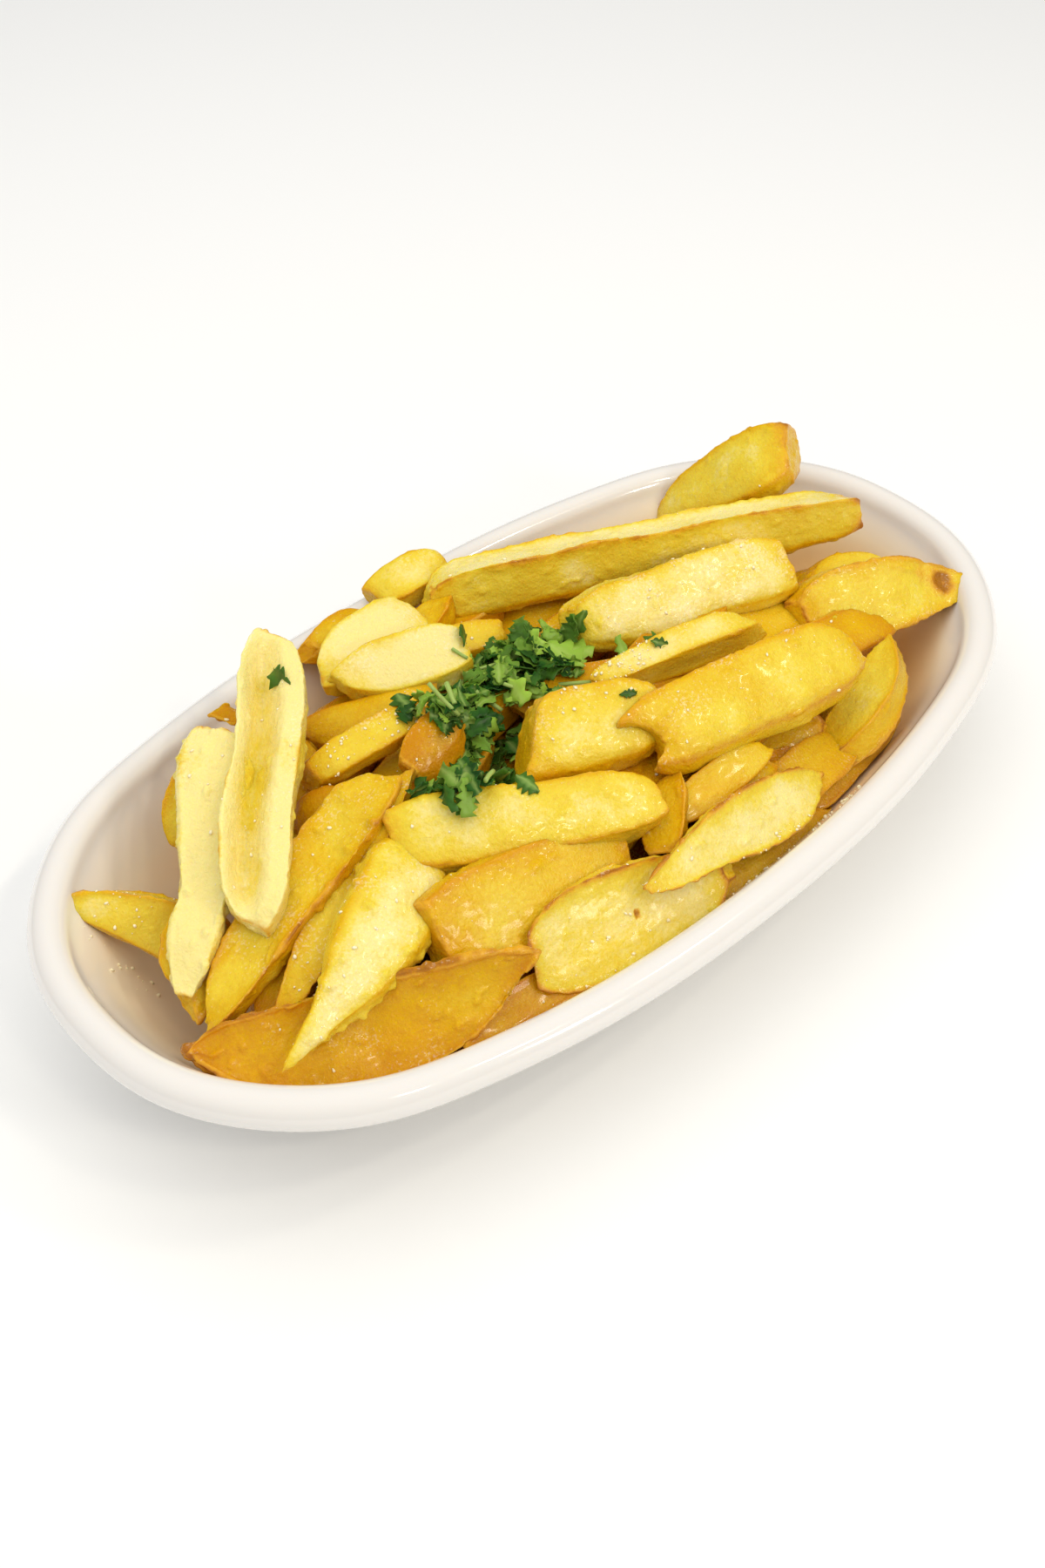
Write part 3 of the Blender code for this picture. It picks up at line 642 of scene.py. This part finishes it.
def surfaceTree(objects):
    # one search tree over the tops of all these objects
    verts, faces = [], []
    graph = bpy.context.evaluated_depsgraph_get()
    for obj in objects:
        mesh = obj.evaluated_get(graph).to_mesh()
        first = len(verts)
        verts += [v.co.copy() for v in mesh.vertices]
        faces += [[first + i for i in p.vertices] for p in mesh.polygons]
    return BVHTree.FromPolygons(verts, faces)


def landing(tree, x, y):
    place, normal, _, _ = tree.ray_cast(Vector((x, y, 100)) * mm, -up)
    if place is None:
        return Vector((x, y, 0)) * mm, up
    return place, normal if normal.z > 0 else -normal


def lyingOn(place, normal, turn, tilt):
    # a frame whose Z leans with the surface, turned about it
    z = (normal + Vector((tilt[0], tilt[1], 0))).normalized()
    x = z.orthogonal().normalized()
    basis = Matrix((x, z.cross(x), z)).transposed()
    return Matrix.Translation(place) @ basis.to_4x4() @ Matrix.Rotation(turn, 4, "Z")


def leafBit(dice, size, light=None):
    # a grid drawn in to a toothed lobe, then curled and given its thickness
    bm = bmesh.new()
    bmesh.ops.create_grid(bm, x_segments=9, y_segments=4, size=1.0)
    for layer in ("pale", "tone"):
        bm.verts.layers.float.new(layer)
    pale, tone = bm.verts.layers.float["pale"], bm.verts.layers.float["tone"]
    light = dice.random() ** 2.5 if light is None else light
    wide = dice.uniform(0.35, 0.75)
    teeth, phase = dice.choice((2, 3, 4, 5)), dice.uniform(0.0, 3.0)
    curl, bend, twist = dice.uniform(-0.25, 0.5), dice.uniform(-0.6, 0.6), dice.uniform(-0.7, 0.7)
    blunt = dice.random() < 0.45
    veined = dice.random() < 0.5
    for vert in bm.verts:
        x, y, _ = vert.co
        u = (x + 1.0) / 2.0
        half = wide * (0.5 + 0.5 * math.sin(math.pi * min(u + 0.15, 1.0))) if blunt else wide * math.sin(math.pi * (0.08 + 0.9 * u)) ** 0.7
        half *= 1.0 + 0.45 * math.sin(teeth * 2.0 * math.pi * u + phase + (1.4 if y > 0 else 0.0)) * abs(y)
        out = y * half
        vert[pale] = 0.45 * (1.0 - min(1.0, abs(y) * 2.5)) if veined else 0.0
        vert[tone] = light
        lean = twist * x
        vert.co = Vector((x, out * math.cos(lean), curl * y * y * wide + bend * 0.35 * x * x + out * math.sin(lean))) * size / 2 * mm
        vert.co.z += parsleySettings["crumple"] * noise.noise((x * size / 3.0, y * size / 4.0, phase * 9.0)) * mm
    bmesh.ops.solidify(bm, geom=bm.faces[:], thickness=parsleySettings["thickness"] * mm)
    bmesh.ops.recalc_face_normals(bm, faces=bm.faces)
    return bm


def stemBit(dice, length):
    # a short bent tube with flat cut ends
    bm = bmesh.new()
    radius = dice.uniform(0.4, 0.65) * mm
    bmesh.ops.create_cone(bm, cap_ends=True, segments=7, radius1=radius, radius2=radius, depth=length * mm)
    sides = [e for e in bm.edges if abs(e.verts[0].co.z - e.verts[1].co.z) > mm]
    bmesh.ops.subdivide_edges(bm, edges=sides, cuts=4)
    pale = bm.verts.layers.float.new("pale")
    bend = dice.uniform(-0.2, 0.2)
    for vert in bm.verts:
        vert[pale] = 0.8
        along = vert.co.z / (length * mm)
        vert.co = Vector((vert.co.z, vert.co.x, vert.co.y + bend * length * mm * (along * along - 0.25)))
    return bm


def addTo(total, part, matrix):
    bmesh.ops.transform(part, matrix=matrix, verts=part.verts)
    mesh = bpy.data.meshes.new("bit")
    part.to_mesh(mesh)
    part.free()
    total.from_mesh(mesh)
    bpy.data.meshes.remove(mesh)


def makeParsley(tree):
    s = parsleySettings
    dice = random.Random(5)
    pile = bmesh.new()
    for layer in ("pale", "tone"):
        pile.verts.layers.float.new(layer)
    for i in range(s["leaves"] + s["stems"]):
        at = dice.uniform(0.0, len(s["spine"]) - 1.001)
        (a, wideA), (b, wideB) = s["spine"][int(at)], s["spine"][int(at) + 1]
        middle = Vector(a).lerp(Vector(b), at % 1.0)
        reach = (wideA + (wideB - wideA) * (at % 1.0)) * dice.random() ** 0.6
        turn = dice.uniform(0.0, 2.0 * math.pi)
        x, y = middle.x + reach * math.cos(turn), middle.y + reach * math.sin(turn)
        if any(math.hypot(x - gx, y - gy) < gr for (gx, gy), gr in s["gaps"]):
            continue
        place, normal = landing(tree, x, y)
        height = s["pile"] * dice.random() * max(0.0, 1.0 - (reach / 14.0) ** 2) + 0.5
        steep = 0.9 if height > 2.0 else 0.45
        tilt = (dice.uniform(-steep, steep), dice.uniform(-steep, steep))
        matrix = lyingOn(place + up * height * mm, normal, dice.uniform(0.0, 2.0 * math.pi), tilt)
        if i < s["leaves"]:
            addTo(pile, leafBit(dice, dice.uniform(*s["size"])), matrix)
        else:
            addTo(pile, stemBit(dice, dice.uniform(4.0, 10.0)), matrix)
    finish(pile, "parsley_pile", parsley, "chopped_parsley")
    strays = bmesh.new()
    for layer in ("pale", "tone"):
        strays.verts.layers.float.new(layer)
    for (x, y), size, turn, lift, light in s["strays"]:
        place, normal = landing(tree, x, y)
        matrix = lyingOn(place + up * lift * mm, normal, math.radians(turn), (-0.2, -0.3))
        addTo(strays, leafBit(dice, size, light), matrix)
    finish(strays, "parsley_bits", parsley, "chopped_parsley")


def finish(bm, name, material, slotName):
    obj = toObject(bm, name, material)
    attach(obj, "root")
    return obj


def makeCrumbs(tree):
    s = crumbSettings
    dice = random.Random(11)
    crumbs = bmesh.new()
    for (cx, cy), (rx, ry), count in s["patches"]:
        for _ in range(count):
            turn, reach = dice.uniform(0.0, 2.0 * math.pi), dice.random() ** 0.5
            x, y = cx + rx * reach * math.cos(turn), cy + ry * reach * math.sin(turn)
            place, normal = landing(tree, x, y)
            if place.z < 4 * mm:
                continue
            size = (s["size"][0] + (s["size"][1] - s["size"][0]) * dice.random() ** 2) * mm
            part = bmesh.new()
            bmesh.ops.create_icosphere(part, subdivisions=1, radius=size)
            for vert in part.verts:
                vert.co *= dice.uniform(0.6, 1.25)
            addTo(crumbs, part, lyingOn(place + normal * size * 0.35, normal, turn, (0, 0)) @ Matrix.Diagonal((1.3, 0.9, 0.75, 1.0)))
    finish(crumbs, "cheese_crumbs", cheese, "grated_cheese")


tops = surfaceTree(fries + [buried, dish])
makeParsley(tops)
makeCrumbs(tops)
print("parsley and crumbs made")


viewSettings = {
    "eye": (-198.5, -210.0, 309.1), "aim": (0.0, 0.0, 31.0), "lens": 40.74, "shift": (-0.0196, -0.0271),
}


def makeCamera():
    v = viewSettings
    camera = bpy.data.cameras.new("camera")
    camera.lens = v["lens"]
    camera.shift_x, camera.shift_y = v["shift"]
    camera.clip_start, camera.clip_end = 0.01, 20.0
    obj = bpy.data.objects.new("camera", camera)
    bpy.context.scene.collection.objects.link(obj)
    obj.location = Vector(v["eye"]) * mm
    obj.rotation_euler = (Vector(v["aim"]) - Vector(v["eye"])).to_track_quat("-Z", "Y").to_euler()
    bpy.context.scene.camera = obj


def makeLight(name, place, aim, size, power, colour):
    light = bpy.data.lights.new(name, "AREA")
    light.shape = "RECTANGLE"
    light.size, light.size_y = size[0] * mm, size[1] * mm
    light.energy = power
    light.color = linear(colour)[:3]
    obj = bpy.data.objects.new(name, light)
    bpy.context.scene.collection.objects.link(obj)
    obj.location = Vector(place) * mm
    obj.rotation_euler = (Vector(aim) - Vector(place)).to_track_quat("-Z", "Y").to_euler()
    return obj


def makeStudio():
    world = bpy.data.worlds.new("studio")
    bpy.context.scene.world = world
    world.use_nodes = True
    world.node_tree.nodes["Background"].inputs["Color"].default_value = linear("#F6F7FA")
    world.node_tree.nodes["Background"].inputs["Strength"].default_value = 0.64
    # the big soft light and the sky light the food without a veil of reflection on it
    world.cycles_visibility.glossy = False
    ceiling = makeLight("ceiling", (-90, 120, 700), (0, 0, 30), (1050, 850), 3.3, "#FFFDF8")
    ceiling.visible_glossy = False
    makeLight("window", (150, -760, 520), (30, 20, 25), (120, 150), 1.1, "#FFF9F0")
    for i, place in enumerate(((150, -520, 860), (420, -380, 820), (-120, -620, 800))):
        makeLight("lamp" + str(i), place, (0, 0, 30), (90, 45), 0.7, "#FFF4E0")
    bm = bmesh.new()
    bmesh.ops.create_grid(bm, x_segments=1, y_segments=1, size=4.0)
    floor = toObject(bm, "floor", paleBoard())
    bpy.context.scene.view_settings.view_transform = "Standard"


makeCamera()
makeStudio()
print("studio ready")
